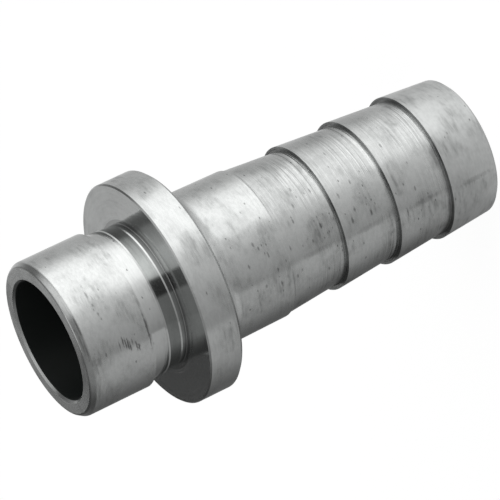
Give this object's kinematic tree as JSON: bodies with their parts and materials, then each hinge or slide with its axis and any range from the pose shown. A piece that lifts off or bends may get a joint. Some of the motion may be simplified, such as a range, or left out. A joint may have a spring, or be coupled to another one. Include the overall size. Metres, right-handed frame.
{
  "type": "hose barb tail",
  "caption": "Turned steel hose tail: barbed end for a hose, round collar, and a plain nose spigot behind a groove, with a straight through bore.",
  "frame": {"origin": "centre of the hose end face, on the axis", "axes": "+Z along the axis from the hose end towards the nose"},
  "size_m": [0.04, 0.04, 0.0831],
  "materials": {
    "turned_steel": "satin turned stainless steel with fine tool rings"
  },
  "bodies": {
    "root": {"hose_tail": "turned_steel"}
  },
  "joints": []
}
